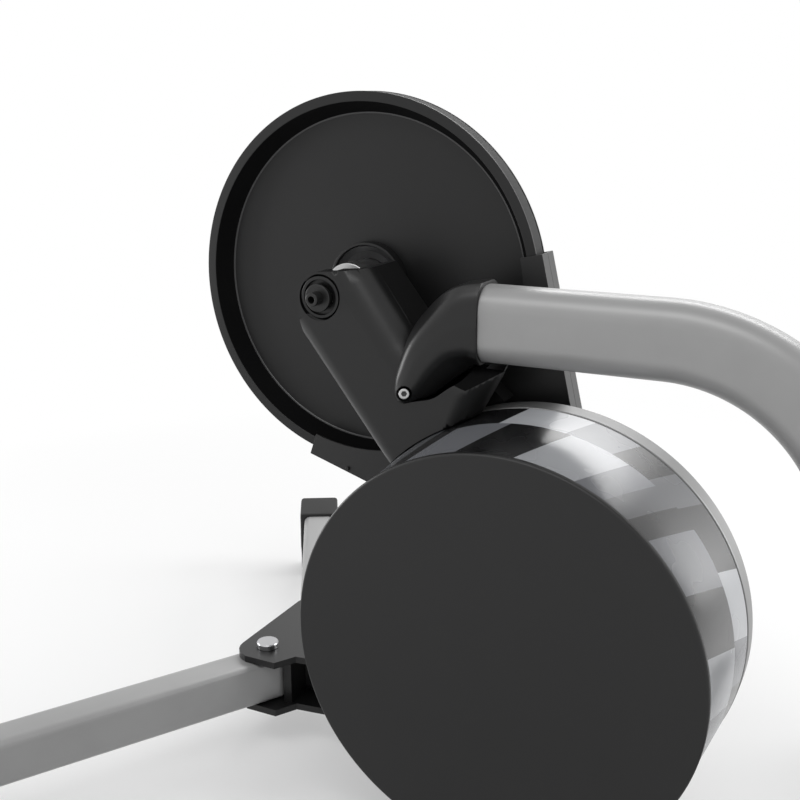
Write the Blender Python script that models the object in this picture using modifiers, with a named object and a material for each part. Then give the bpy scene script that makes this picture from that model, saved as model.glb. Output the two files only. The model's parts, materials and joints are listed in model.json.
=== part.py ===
"""Direct drive bike trainer: a cantilevered axle with an exposed drive pulley, a belt under a
teardrop guard, a drum flywheel over a magnetic brake, a rear leg tube and two folding front legs."""

import math

import bmesh
import bpy
from mathutils import Matrix, Vector

MM = 0.001

# The design frame is in millimetres: X forward, Y to the bike's left, Z up, from the middle of
# the axle on the bike's centre plane. AXLE places it above the floor.
AXLE = Vector((112.21, 0.0, 382.0))

HALF_DROPOUT = 67.5
AXLE_R = 8.5
SKEWER_R = 2.6
ARM_FACE = 62.5
ARM_LEAN = 0.085
ARM_BACK = 6.0
ARM_TOP_R = 18.0
WEB_NEAR = 25.5

PULLEY_R = 142.0
PULLEY_WIDTH = 17.6
PULLEY_FLOOR = -15.2
PULLEY_BORE = 18.3
RIM_INNER = 134.8
FLOOR_R = 127.0

BELT_GAP = 0.3
BELT_THICK = 1.9
BELT_NEAR, BELT_FAR = -2.0, -15.6
SMALL_PULLEY_R = 18.0
IDLER = (-62.0, -187.0)
IDLER_R = 15.0

DRUM = (-164.6, -211.3)
DRUM_NEAR, DRUM_FAR = 142.0, 46.0
DRUM_NEAR_R, DRUM_FAR_R = 138.1, 144.5
CAP_R = 139.6
SHAFT_R = 8.5
HOUSING_R = 36.0
FLANGE_NEAR, FLANGE_PLATE, FLANGE_BACK = 44.8, 36.5, 28.6
FLANGE_R = 144.9
SKIRT_R = 145.5

GUARD_NEAR, GUARD_PART, GUARD_FAR = 2.6, -8.8, -20.2
GUARD_WALL = 2.0
GUARD_OPENING = 130.7
GUARD_END_R = 35.5

TUBE_Y = 47.0
TUBE_Z = -10.5
TUBE_TALL, TUBE_WIDE = 53.0, 37.0
TUBE_BEND = 130.0
TUBE_WALL = 3.0
TUBE_END_X = -114.0
REAR_BAR = (-430.0, -350.0)
REAR_BAR_R = 25.0
REAR_BAR_HALF = 190.0

BASE_TOP, BASE_BOTTOM = -306.6, -343.0
BASE_Y, BASE_HALF = -6.0, 31.0
BASE_PLATE = 8.0
LEG_PIVOT_X, LEG_PIVOT_Y = 70.0, 40.0
LEG_LENGTH = 285.0
LEG_WIDE = 32.0
LEG_WALL = 3.0
LEG_SPREAD = math.radians(60.0)
FLOOR = -AXLE.z

GAP = 0.3

# facets round a full turn, by how large and how well seen a piece is
LARGE, MEDIUM, SMALL, TINY = 60, 28, 20, 10

Y_AXIS, Z_AXIS = Vector((0, 1, 0)), Vector((0, 0, 1))

# colour, roughness, metallic
PAINT = ((0.040, 0.040, 0.042), 0.42, 0.0)
MOULDED = ((0.030, 0.030, 0.031), 0.40, 0.0)
SHELL = ((0.034, 0.034, 0.035), 0.50, 0.0)
RUBBER = ((0.012, 0.012, 0.012), 0.85, 0.0)
SILVER = ((0.60, 0.60, 0.60), 0.35, 0.9)
TUBE_GREY = ((0.34, 0.34, 0.34), 0.45, 0.3)
STEEL = ((0.42, 0.42, 0.43), 0.32, 1.0)
BAND = ((0.25, 0.25, 0.25), 0.18, 0.0)
FLANGE_GREY = ((0.22, 0.22, 0.22), 0.40, 0.3)
COPPER = ((0.45, 0.19, 0.08), 0.40, 0.9)
BOARD = ((0.02, 0.10, 0.04), 0.50, 0.0)
DARK_METAL = ((0.06, 0.06, 0.06), 0.35, 0.8)


for old in list(bpy.data.objects):
    bpy.data.objects.remove(old, do_unlink=True)


def new_collection(name):
    made = bpy.data.collections.new(name)
    bpy.context.scene.collection.children.link(made)
    return made


PARTS = new_collection("direct_drive_trainer")
CUTTERS = new_collection("cutters")
AXLE_EMPTY = bpy.data.objects.new("axle_centre", None)
AXLE_EMPTY.location = AXLE * MM
PARTS.objects.link(AXLE_EMPTY)


def polar(centre, radius, angle):
    return (centre[0] + radius * math.cos(angle), centre[1] + radius * math.sin(angle))


def arc(centre, radius, start, end, steps):
    """Points from one angle to another, in radians, both ends included."""
    return [polar(centre, radius, start + (end - start) * i / steps) for i in range(steps + 1)]


def circle(centre, radius, steps=32):
    return arc(centre, radius, 0.0, 2 * math.pi, steps)[:-1]


def offset(points, distance):
    """A closed anticlockwise outline moved inwards by the distance."""
    moved = []
    count = len(points)
    for i in range(count):
        before = Vector(points[i]) - Vector(points[i - 1])
        after = Vector(points[(i + 1) % count]) - Vector(points[i])
        before.normalize()
        after.normalize()
        normal = Vector((-before.y - after.y, before.x + after.x))
        if normal.length < 1e-6:
            normal = Vector((-before.y, before.x))
        normal.normalize()
        cosine = max(normal.dot(Vector((-before.y, before.x))), 0.4)
        moved.append(tuple(Vector(points[i]) + normal * distance / cosine))
    return moved


def belt_line(wheels, steps):
    """A closed loop round wheels (centre, signed radius); a negative radius is run on its back."""
    count = len(wheels)
    headings = []
    for i in range(count):
        (centre, radius), (other, far) = wheels[i], wheels[(i + 1) % count]
        run = Vector(other) - Vector(centre)
        turn = math.asin((radius - far) / run.length)
        headings.append(math.atan2(run.y, run.x) + turn)
    points = []
    for i in range(count):
        centre, radius = wheels[i]
        start, end = headings[i - 1] - math.pi / 2, headings[i] - math.pi / 2
        while radius > 0 and end < start:
            end += 2 * math.pi
        while radius < 0 and end > start:
            end -= 2 * math.pi
        pieces = max(1, round(steps * abs(end - start) / (2 * math.pi)))
        points += arc(centre, radius, start, end, pieces)
    return points


def link(obj):
    PARTS.objects.link(obj)
    obj.parent = AXLE_EMPTY
    return obj


def mesh_object(name, shape):
    mesh = bpy.data.meshes.new(name)
    shape.to_mesh(mesh)
    shape.free()
    return link(bpy.data.objects.new(name, mesh))


def to_mesh(obj):
    """Replaces a curve object by the mesh it makes, with its caps welded on."""
    bpy.context.view_layer.update()
    evaluated = obj.evaluated_get(bpy.context.evaluated_depsgraph_get())
    mesh = bpy.data.meshes.new_from_object(evaluated)
    mesh.transform(AXLE_EMPTY.matrix_world.inverted() @ obj.matrix_world)
    shape = bmesh.new()
    shape.from_mesh(mesh)
    bmesh.ops.remove_doubles(shape, verts=shape.verts, dist=1e-6)
    bmesh.ops.dissolve_limit(shape, angle_limit=math.radians(0.2), verts=shape.verts, edges=shape.edges)
    bmesh.ops.recalc_face_normals(shape, faces=shape.faces)
    shape.to_mesh(mesh)
    shape.free()
    name = obj.name
    bpy.data.objects.remove(obj, do_unlink=True)
    return link(bpy.data.objects.new(name, mesh))


def flat(name, loops, low, high, axis="Y"):
    """A flat outline with holes, drawn on X and Z and thick along Y, or on X and Y along Z."""
    curve = bpy.data.curves.new(name, "CURVE")
    curve.dimensions = "2D"
    curve.fill_mode = "BOTH"
    curve.extrude = (high - low) / 2 * MM
    for loop in loops:
        spline = curve.splines.new("POLY")
        spline.points.add(len(loop) - 1)
        for point, (u, v) in zip(spline.points, loop):
            point.co = (u * MM, v * MM, 0.0, 1.0)
        spline.use_cyclic_u = True
    obj = link(bpy.data.objects.new(name, curve))
    middle = (low + high) / 2 * MM
    if axis == "Y":
        obj.rotation_euler = (math.pi / 2, 0.0, 0.0)
        obj.location = (0.0, middle, 0.0)
    else:
        obj.location = (0.0, 0.0, middle)
    return to_mesh(obj)


def turned(name, profile, at, axis=Y_AXIS, steps=48):
    """A profile of (radius, height) turned about an axis, listed down its outer side."""
    shape = bmesh.new()
    points = [shape.verts.new((radius * MM, 0.0, height * MM)) for radius, height in profile]
    for first, second in zip(points, points[1:]):
        shape.edges.new((first, second))
    if profile[0][0] > 0:
        shape.edges.new((points[-1], points[0]))
    obj = mesh_object(name, shape)
    obj.location = Vector(at) * MM
    obj.rotation_euler = axis.to_track_quat("Z", "Y").to_euler()
    screw = obj.modifiers.new("turn", "SCREW")
    screw.axis = "Z"
    screw.steps = steps
    screw.render_steps = steps
    screw.use_merge_vertices = True
    screw.merge_threshold = 0.00001
    screw.use_smooth_shade = True
    return obj


def rod(name, radius, low, high, at, axis=Y_AXIS, steps=32):
    return turned(name, [(0, high), (radius, high), (radius, low), (0, low)], at, axis, steps)


def block(name, low, high):
    shape = bmesh.new()
    bmesh.ops.create_cube(shape, size=1.0)
    low, high = Vector(low) * MM, Vector(high) * MM
    size = high - low
    bmesh.ops.scale(shape, vec=size, verts=shape.verts)
    bmesh.ops.translate(shape, vec=(low + high) / 2, verts=shape.verts)
    return mesh_object(name, shape)


def soften(obj, width, segments=2, angle=40.0):
    bevel = obj.modifiers.new("soft_edges", "BEVEL")
    bevel.width = width * MM
    bevel.segments = segments
    bevel.limit_method = "ANGLE"
    bevel.angle_limit = math.radians(angle)
    return obj


def boolean(obj, tool, operation):
    change = obj.modifiers.new(operation.lower() + "_" + tool.name, "BOOLEAN")
    change.object = tool
    change.operation = operation
    change.solver = "EXACT"
    if tool.name not in CUTTERS.objects:
        PARTS.objects.unlink(tool)
        CUTTERS.objects.link(tool)
    tool.hide_render = True
    tool.display_type = "WIRE"
    return obj


def cut(obj, *tools):
    for tool in tools:
        boolean(obj, tool, "DIFFERENCE")
    return obj


def join(obj, *tools):
    for tool in tools:
        boolean(obj, tool, "UNION")
    return obj


def paint(obj, look):
    colour, roughness, metallic = look
    made = bpy.data.materials.new(obj.name)
    made.use_nodes = True
    shader = made.node_tree.nodes["Principled BSDF"]
    shader.inputs["Base Color"].default_value = (*colour, 1.0)
    shader.inputs["Roughness"].default_value = roughness
    shader.inputs["Metallic"].default_value = metallic
    obj.data.materials.clear()
    obj.data.materials.append(made)
    return obj


def smooth(obj, angle=35.0):
    obj.data.shade_smooth()
    obj.data.set_sharp_from_angle(angle=math.radians(angle))
    return obj


def arm_face(z):
    """The near face of the arm leans out towards the bottom."""
    return ARM_FACE + ARM_LEAN * (ARM_TOP_R - z)


def knuckle_rings(extra):
    """Centre X, Z, heading, half height, near and far Y of each ring of the leg socket."""
    stations = [
        (-121.0, -10.0, 0.0, 28.5, 68.0, 26.0),
        (-107.5, -12.5, -20.0, 26.8, 70.5, 26.0),
        (-96.5, -23.0, -31.0, 27.0, 73.0, 30.0),
        (-86.5, -37.0, -41.0, 25.2, 75.5, 38.0),
        (-76.5, -52.0, -54.0, 19.7, 76.5, 48.0),
        (-69.0, -64.0, -57.0, 12.0, 76.0, 58.0),
        (-66.0, -69.0, -57.0, 6.0, 74.0, 62.0),
    ]
    rings = []
    for x, z, heading, half, near, far in stations:
        angle = math.radians(heading)
        across = (-math.sin(angle), math.cos(angle))
        wide, middle = (near - far) / 2 + extra, (near + far) / 2
        ring = []
        for i in range(24):
            turn = 2 * math.pi * i / 24
            power = 0.72
            up = math.copysign(abs(math.cos(turn)) ** power, math.cos(turn)) * (half + extra)
            out = math.copysign(abs(math.sin(turn)) ** power, math.sin(turn)) * wide
            ring.append((x + across[0] * up, middle + out, z + across[1] * up))
        rings.append(ring)
    return rings


def loft(name, rings):
    """A closed skin over rings of equal count, with a face on each end."""
    shape = bmesh.new()
    rows = [[shape.verts.new(Vector(point) * MM) for point in ring] for ring in rings]
    for row, following in zip(rows, rows[1:]):
        for i in range(len(row)):
            j = (i + 1) % len(row)
            shape.faces.new((row[i], row[j], following[j], following[i]))
    shape.faces.new(rows[0][::-1])
    shape.faces.new(rows[-1])
    bmesh.ops.recalc_face_normals(shape, faces=shape.faces)
    return mesh_object(name, shape)


def rounded_rectangle(half_u, half_v, radius, steps=3):
    corners = [(half_u, half_v, 0), (-half_u, half_v, 1), (-half_u, -half_v, 2), (half_u, -half_v, 3)]
    points = []
    for u, v, quarter in corners:
        centre = (u - math.copysign(radius, u), v - math.copysign(radius, v))
        points += arc(centre, radius, quarter * math.pi / 2, (quarter + 1) * math.pi / 2, steps)
    return points


def swept(name, path, section):
    """A flat section carried along a route of points."""
    outline = bpy.data.curves.new(name + "_section", "CURVE")
    outline.dimensions = "2D"
    spline = outline.splines.new("POLY")
    spline.points.add(len(section) - 1)
    for point, (u, v) in zip(spline.points, section):
        point.co = (u * MM, v * MM, 0.0, 1.0)
    spline.use_cyclic_u = True
    guide = link(bpy.data.objects.new(name + "_section", outline))
    route = bpy.data.curves.new(name, "CURVE")
    route.dimensions = "3D"
    route.bevel_mode = "OBJECT"
    route.bevel_object = guide
    route.use_fill_caps = True
    spline = route.splines.new("POLY")
    spline.points.add(len(path) - 1)
    for point, place in zip(spline.points, path):
        point.co = (*(Vector(place) * MM), 1.0)
    made = to_mesh(link(bpy.data.objects.new(name, route)))
    bpy.data.objects.remove(guide, do_unlink=True)
    return made


def arm_outline(shoulder, skirt_r, skirt_start):
    """The upper arm seen from the bike's left, anticlockwise on X and Z."""
    start = math.radians(-35)
    top = arc((0, 0), ARM_TOP_R, start, math.radians(90), 10)
    flank = [(-18.0, 19.5), (-32.0, 21.0), (-58.0, -12.0), (-66.0, -23.0), (-86.0, -36.0)]
    skirt = arc(DRUM, skirt_r, math.radians(skirt_start), math.radians(43.0), 14)
    return top + flank + shoulder + skirt


def near_edges(obj, chosen, width, segments):
    """Bevels the near face's outline where the chosen test of its middle point holds."""
    shape = bmesh.new()
    shape.from_mesh(obj.data)
    edges = []
    for edge in shape.edges:
        ends = [vert.co / MM for vert in edge.verts]
        middle = (ends[0] + ends[1]) / 2
        if all(end.y > ARM_FACE - 5 for end in ends) and len(edge.link_faces) == 2:
            turn = edge.link_faces[0].normal.angle(edge.link_faces[1].normal, 0.0)
            if turn > math.radians(40) and chosen(middle):
                edges.append(edge)
    bmesh.ops.bevel(shape, geom=edges, offset=width * MM, segments=segments, profile=0.5, affect="EDGES")
    shape.to_mesh(obj.data)
    shape.free()
    return obj


def build_arm():
    shoulder = [(-118.0, -40.5), (-139.0, -40.5), (-129.5, -57.5)]
    arm = flat("arm", [arm_outline(shoulder, SKIRT_R - 5.5, 70.0)], ARM_BACK, ARM_FACE)
    for vert in arm.data.vertices:
        if vert.co.y > (ARM_FACE - 1) * MM:
            vert.co.y = arm_face(vert.co.z / MM) * MM
    near_edges(arm, lambda p: p.x < -18 and p.z > -45, 11.0, 4)
    near_edges(arm, lambda p: p.x > 0.683 * p.z + 12, 3.0, 2)

    pocket = flat("arm_pocket", [offset(arm_outline([], SKIRT_R, 58.0), 7.0)], ARM_BACK - 2, ARM_FACE - 9)
    bell = turned(
        "arm_bell",
        [(0, 54.0), (16.8, 54.0), (17.2, 46.5), (30.5, 45.0), (33.5, 34.0), (33.5, 3.0), (0, 3.0)],
        (0, 0, 0),
        steps=MEDIUM,
    )
    skirt = turned(
        "arm_skirt",
        [(0, 90.0), (SKIRT_R - 2.9, 90.0), (SKIRT_R, DRUM_FAR), (SKIRT_R, 2.0), (0, 2.0)],
        (DRUM[0], 0, DRUM[1]),
        steps=LARGE,
    )
    behind = [(-160.0, -30.0), (-160.0, -90.0), (-113.0, -90.0), (-111.0, -70.0), (-122.0, -45.0), (-126.0, -30.0)]
    cut(arm, pocket, bell, skirt, flat("arm_behind_shoulder", [behind], 0.0, 50.0))

    boss = rod("arm_axle_boss", 15.5, 44.0, ARM_FACE - 2.0, (0, 0, 0), steps=MEDIUM)
    web = flat("arm_web", [web_outline()], ARM_BACK + 0.5, WEB_NEAR)
    ribs = [
        flat("arm_rib_%d" % i, [rib(start, end, 5.0)], ARM_BACK + 1.5, ARM_FACE - 8.0)
        for i, (start, end) in enumerate([((-4, -26), (-62, -22)), ((-30, -24), (-36, 6))])
    ]
    housing = rod("arm_bearing_housing", HOUSING_R, ARM_BACK - 2, FLANGE_PLATE - GAP, (DRUM[0], 0, DRUM[1]), steps=MEDIUM)
    plate_top = BASE_TOP + GAP + BASE_PLATE
    plate = block("arm_base_plate", (-224.0, -30.0, BASE_TOP + GAP), (-108.0, WEB_NEAR - 0.4, plate_top))
    soften(plate, 3.0, 1)
    gusset = block("arm_gusset", (-170.0, -24.0, plate_top - 3), (-162.0, 10.0, plate_top + 16))
    join(arm, boss, *ribs, web, housing, plate, gusset)

    for i, loop in enumerate(web_windows()):
        cut(arm, flat("arm_window_%d" % i, [loop], ARM_BACK - 6, 34.0))
    bore_r, seat_r = AXLE_R + GAP, 16.5
    axle_bore = turned(
        "arm_axle_bore",
        [(0, 90.0), (seat_r, 90.0), (seat_r, 58.0), (bore_r, 58.0), (bore_r, 30.0), (0, 30.0)],
        (0, 0, 0),
        steps=SMALL,
    )
    shaft_bore = turned(
        "arm_shaft_bore",
        [
            (0, 60.0),
            (20.3, 60.0),
            (20.3, 22.2),
            (17.0, 22.2),
            (17.0, 18.3),
            (20.3, 18.3),
            (20.3, -8.0),
            (0, -8.0),
        ],
        (DRUM[0], 0, DRUM[1]),
        steps=MEDIUM,
    )
    stud_bore = rod("arm_idler_bore", 5.3, -4.0, 24.0, (IDLER[0], 0, IDLER[1]), steps=TINY)
    socket = loft("arm_socket_seat", knuckle_rings(0.6))
    bolt_holes = [
        rod("arm_bolt_hole_%d" % i, 4.6, BASE_TOP - 9, plate_top + 6, (x, y, 0), Z_AXIS, steps=TINY)
        for i, (x, y) in enumerate(base_bolt_places())
    ]
    cut(arm, axle_bore, shaft_bore, stud_bore, socket, *bolt_holes)
    paint(arm, PAINT)
    smooth(arm)


def web_outline():
    """The lower web: from the arm down past the bearing housing to the base."""
    return [
        (-48.0, -70.0),
        (-76.0, -112.0),
        (-96.0, -152.0),
        (-114.0, -190.0),
        (-121.0, -230.0),
        (-118.0, BASE_TOP + GAP),
        (-214.0, BASE_TOP + GAP),
        (-208.0, -230.0),
        (-205.0, -185.0),
        (-190.0, -125.0),
        (-172.0, -84.0),
        (-134.0, -76.0),
        (-117.5, -62.0),
        (-100.0, -46.0),
        (-62.0, -40.0),
    ]


def web_windows():
    upper = [(-78.0, -92.0), (-104.0, -134.0), (-124.0, -163.0), (-148.0, -166.0), (-152.0, -84.0)]
    side = [(-168.0, -92.0), (-162.0, -166.0), (-186.0, -170.0), (-178.0, -125.0)]
    foot = [(-136.0, -256.0), (-134.0, -292.0), (-196.0, -292.0), (-193.0, -256.0)]
    return [upper, side, foot]


def rib(start, end, thick):
    run = Vector(end) - Vector(start)
    side = Vector((-run.y, run.x)).normalized() * thick / 2
    start, end = Vector(start), Vector(end)
    return [tuple(start + side), tuple(start - side), tuple(end - side), tuple(end + side)]


def build_axle_group():
    axle = turned(
        "axle",
        [(AXLE_R, 60.0), (AXLE_R, -60.0), (SKEWER_R, -60.0), (SKEWER_R, 60.0)],
        (0, 0, 0),
        steps=SMALL,
    )
    paint(axle, STEEL)
    for name, side in (("left_adapter", 1), ("right_adapter", -1)):
        tip = HALF_DROPOUT + 8.3
        adapter = turned(
            name,
            [
                (4.0, tip),
                (4.9, tip - 1.2),
                (4.9, HALF_DROPOUT),
                (AXLE_R - 0.6, HALF_DROPOUT),
                (AXLE_R, HALF_DROPOUT - 0.6),
                (AXLE_R, 60.3),
                (SKEWER_R, 60.3),
                (SKEWER_R, tip),
            ],
            (0, 0, 0),
            axis=Y_AXIS * side,
            steps=SMALL,
        )
        paint(adapter, DARK_METAL)
    ring = turned(
        "adapter_lock_ring",
        [(14.2, 63.6), (15.1, 62.8), (15.1, 58.3), (AXLE_R + GAP, 58.3), (AXLE_R + GAP, 63.6)],
        (0, 0, 0),
        steps=MEDIUM,
    )
    paint(ring, PAINT)
    sleeve = turned(
        "spacer_sleeve",
        [
            (12.4, 43.7),
            (13.0, 43.0),
            (13.0, 21.6),
            (18.2, 21.6),
            (19.0, 20.8),
            (19.0, 9.4),
            (AXLE_R + GAP, 9.4),
            (AXLE_R + GAP, 43.7),
        ],
        (0, 0, 0),
        steps=MEDIUM,
    )
    paint(sleeve, SILVER)


def hub_screw_places():
    return [polar((0, 0), 26.0, math.radians(45 + 90 * i)) for i in range(4)]


def build_drive_pulley():
    pulley = turned(
        "drive_pulley",
        [
            (PULLEY_R, 0.0),
            (PULLEY_R, -1.3),
            (PULLEY_R - 2.4, -1.7),
            (PULLEY_R - 2.4, -15.9),
            (PULLEY_R, -16.3),
            (PULLEY_R, -PULLEY_WIDTH),
            (PULLEY_BORE, -PULLEY_WIDTH),
            (PULLEY_BORE, PULLEY_FLOOR),
            (FLOOR_R - 1.5, PULLEY_FLOOR),
            (FLOOR_R, PULLEY_FLOOR + 0.6),
            (RIM_INNER, 0.0),
        ],
        (0, 0, 0),
        steps=LARGE,
    )
    hub = turned(
        "drive_hub",
        [
            (17.2, 8.8),
            (18.0, 8.0),
            (18.0, -17.9),
            (31.0, -17.9),
            (31.0, -22.6),
            (21.0, -22.6),
            (21.0, -25.4),
            (15.1, -25.4),
            (15.1, -14.6),
            (11.0, -14.6),
            (11.0, -3.4),
            (15.1, -3.4),
            (15.1, 8.8),
        ],
        (0, 0, 0),
        steps=MEDIUM,
    )
    clamp = turned(
        "hub_clamp_ring",
        [
            (29.6, -6.4),
            (30.4, -6.4),
            (31.0, -7.0),
            (31.0, -14.9),
            (PULLEY_BORE, -14.9),
            (PULLEY_BORE, -12.4),
            (24.0, -11.6),
            (28.2, -9.2),
        ],
        (0, 0, 0),
        steps=MEDIUM,
    )
    for i, (x, z) in enumerate(hub_screw_places()):
        place = (x, 0, z)
        hole = rod("hub_screw_hole_%d" % (i + 1), 2.1, -30.0, -12.4, place, steps=TINY)
        for piece in (pulley, hub, clamp):
            cut(piece, hole)
        screw = turned(
            "hub_screw_%d" % (i + 1),
            [(0, -12.8), (1.8, -12.8), (1.8, -22.9), (3.5, -22.9), (3.5, -25.2), (3.0, -25.9), (0, -25.9)],
            place,
            steps=TINY,
        )
        paint(screw, DARK_METAL)
    paint(pulley, PAINT)
    paint(hub, STEEL)
    paint(clamp, PAINT)
    for name, low in (("hub_bearing_left", -3.1), ("hub_bearing_right", -24.9)):
        bearing = turned(
            name,
            [(14.8, low + 10), (14.8, low), (AXLE_R + GAP, low), (AXLE_R + GAP, low + 10)],
            (0, 0, 0),
            steps=SMALL,
        )
        paint(bearing, STEEL)


def build_freehub():
    outline = []
    splines = 9
    for i in range(splines):
        middle = 2 * math.pi * i / splines
        half = math.pi / splines
        outline += arc((0, 0), 17.0, middle - half * 0.55, middle + half * 0.45, 1)
        outline += arc((0, 0), 15.4, middle + half * 0.62, middle + half * 1.28, 1)
    body = flat("freehub_body", [outline, circle((0, 0), 13.0, SMALL)[::-1]], -61.5, -28.4)
    collar = turned(
        "freehub_collar",
        [(17.6, -25.9), (18.0, -26.3), (18.0, -29.2), (13.0, -29.2), (13.0, -25.9)],
        (0, 0, 0),
        steps=MEDIUM,
    )
    join(body, collar)
    paint(body, SILVER)
    smooth(body)
    bearing = turned(
        "freehub_bearing",
        [(12.7, -44.0), (12.7, -61.0), (AXLE_R + GAP, -61.0), (AXLE_R + GAP, -44.0)],
        (0, 0, 0),
        steps=SMALL,
    )
    paint(bearing, STEEL)


def belt_wheels(extra):
    """The belt's inner line moved out by an amount; the idler runs on the belt's back."""
    big = PULLEY_R - 2.4 + BELT_GAP + extra
    small = SMALL_PULLEY_R + BELT_GAP + extra
    idler = IDLER_R + BELT_GAP + BELT_THICK - extra
    return [((0, 0), big), (DRUM, small), (IDLER, -idler)]


def build_belt():
    inner = belt_line(belt_wheels(0.0), LARGE)
    outer = belt_line(belt_wheels(BELT_THICK), LARGE)
    belt = flat("drive_belt", [outer, inner[::-1]], BELT_FAR, BELT_NEAR)
    paint(belt, RUBBER)
    smooth(belt)
    small = turned(
        "small_pulley",
        [
            (19.6, -0.6),
            (19.6, -1.4),
            (SMALL_PULLEY_R, -1.8),
            (SMALL_PULLEY_R, -15.8),
            (19.6, -16.2),
            (19.6, -17.0),
            (SHAFT_R + GAP, -17.0),
            (SHAFT_R + GAP, -0.6),
        ],
        (DRUM[0], 0, DRUM[1]),
        steps=MEDIUM,
    )
    paint(small, STEEL)
    place = (IDLER[0], 0, IDLER[1])
    roller = turned(
        "idler_roller",
        [(14.4, -1.4), (IDLER_R, -2.0), (IDLER_R, -15.6), (14.4, -16.2), (5.2, -16.2), (5.2, -1.4)],
        place,
        steps=MEDIUM,
    )
    paint(roller, SILVER)
    stud = turned(
        "idler_stud",
        [(0, 23.0), (4.8, 23.0), (4.8, -16.5), (7.5, -16.5), (7.5, -17.9), (0, -17.9)],
        place,
        steps=SMALL,
    )
    paint(stud, STEEL)


def guard_outline(inset):
    """The teardrop from its rear end round the small pulley to its front corner, then the opening."""
    lower = [(-20.0, -162.5), (3.5, -155.0), (17.0, -150.6), (31.0, -146.2), (43.5, -142.2), (47.7, -140.9)]
    rear = (-144.0, 32.0)
    wheels = [(rear, 0.01), (DRUM, GUARD_END_R - inset), (IDLER, 21.0 - inset), (lower[0], 0.01)]
    headings = []
    for (centre, radius), (other, far) in zip(wheels, wheels[1:]):
        run = Vector(other) - Vector(centre)
        headings.append(math.atan2(run.y, run.x) + math.asin((radius - far) / run.length))
    points = []
    for i in (1, 2):
        start, end = headings[i - 1] - math.pi / 2, headings[i] - math.pi / 2
        while end < start:
            end += 2 * math.pi
        points += arc(wheels[i][0], wheels[i][1], start, end, 14 if i == 1 else 6)
    normal_rear = polar((0, 0), inset, headings[0] + math.pi / 2)
    shifted_rear = (rear[0] + normal_rear[0], rear[1] + normal_rear[1])
    down = math.radians(17.8)
    shift = (-math.sin(down) * inset, math.cos(down) * inset)
    return [shifted_rear] + points + [(x + shift[0], z + shift[1]) for x, z in lower]


def build_guards():
    outer = guard_outline(0.0)
    front_angle = math.atan2(outer[-1][1], outer[-1][0])
    rear_angle = math.atan2(outer[0][1], outer[0][0]) - 2 * math.pi
    opening = arc((0, 0), GUARD_OPENING, front_angle, rear_angle, 40)
    face = outer + opening
    inside = guard_outline(GUARD_WALL)
    past_front = (inside[-1][0] + 12.0, inside[-1][1] + 3.0)
    past_rear = (inside[0][0] + 3.0, inside[0][1] + 12.0)
    mouth = arc((0, 0), GUARD_OPENING - 9.0, front_angle + 0.1, rear_angle - 0.1, 24)
    hollow = [past_rear] + inside + [past_front] + mouth
    halves = (
        ("guard_near", GUARD_PART + GAP / 2, GUARD_NEAR, GUARD_PART - 1, GUARD_NEAR - GUARD_WALL),
        ("guard_far", GUARD_FAR, GUARD_PART - GAP / 2, GUARD_FAR + GUARD_WALL, GUARD_PART + 1),
    )
    for name, low, high, hollow_low, hollow_high in halves:
        half = flat(name, [face], low, high)
        cut(half, flat(name + "_hollow", [hollow], hollow_low, hollow_high))
        bosses = [
            rod(name + "_boss_%d" % i, boss, low + 0.01 * i + 0.02, high - 0.01 * i - 0.02, (x, 0, z), steps=TINY)
            for i, (x, z, boss) in enumerate(guard_screw_places())
        ]
        join(half, *bosses)
        if name == "guard_near":
            shaft_hole = rod("guard_shaft_hole", 12.0, -4.0, 10.0, (DRUM[0], 0, DRUM[1]), steps=SMALL)
            idler_hole = rod("guard_idler_hole", 6.0, -4.0, 10.0, (IDLER[0], 0, IDLER[1]), steps=TINY)
            cut(half, shaft_hole, idler_hole)
        for i, (x, z, boss) in enumerate(guard_screw_places()):
            cut(half, rod(name + "_screw_hole_%d" % i, boss * 0.4, -18.0, 10.0, (x, 0, z), steps=TINY))
        paint(half, SHELL)
        smooth(half)
    for i, (x, z, boss) in enumerate(guard_screw_places()):
        head, shank = boss * 0.64, boss * 0.34
        screw = turned(
            "guard_screw_%d" % (i + 1),
            [(0, 4.4), (head - 0.4, 4.4), (head, 3.9), (head, 2.9), (shank, 2.9), (shank, -17.0), (0, -17.0)],
            (x, 0, z),
            steps=TINY,
        )
        paint(screw, DARK_METAL)


def guard_screw_places():
    """X, Z and boss radius of each screw that holds the guard's halves together."""
    return [(-84.0, -150.0, 5.0), (-140.0, -80.0, 5.0), (-150.0, -160.0, 5.0), (12.9, -148.7, 2.7)]


def drum_radius(y):
    """The band's outer radius, which widens towards the frame."""
    share = (DRUM_NEAR - y) / (DRUM_NEAR - DRUM_FAR)
    return DRUM_NEAR_R + (DRUM_FAR_R - DRUM_NEAR_R) * share


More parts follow.
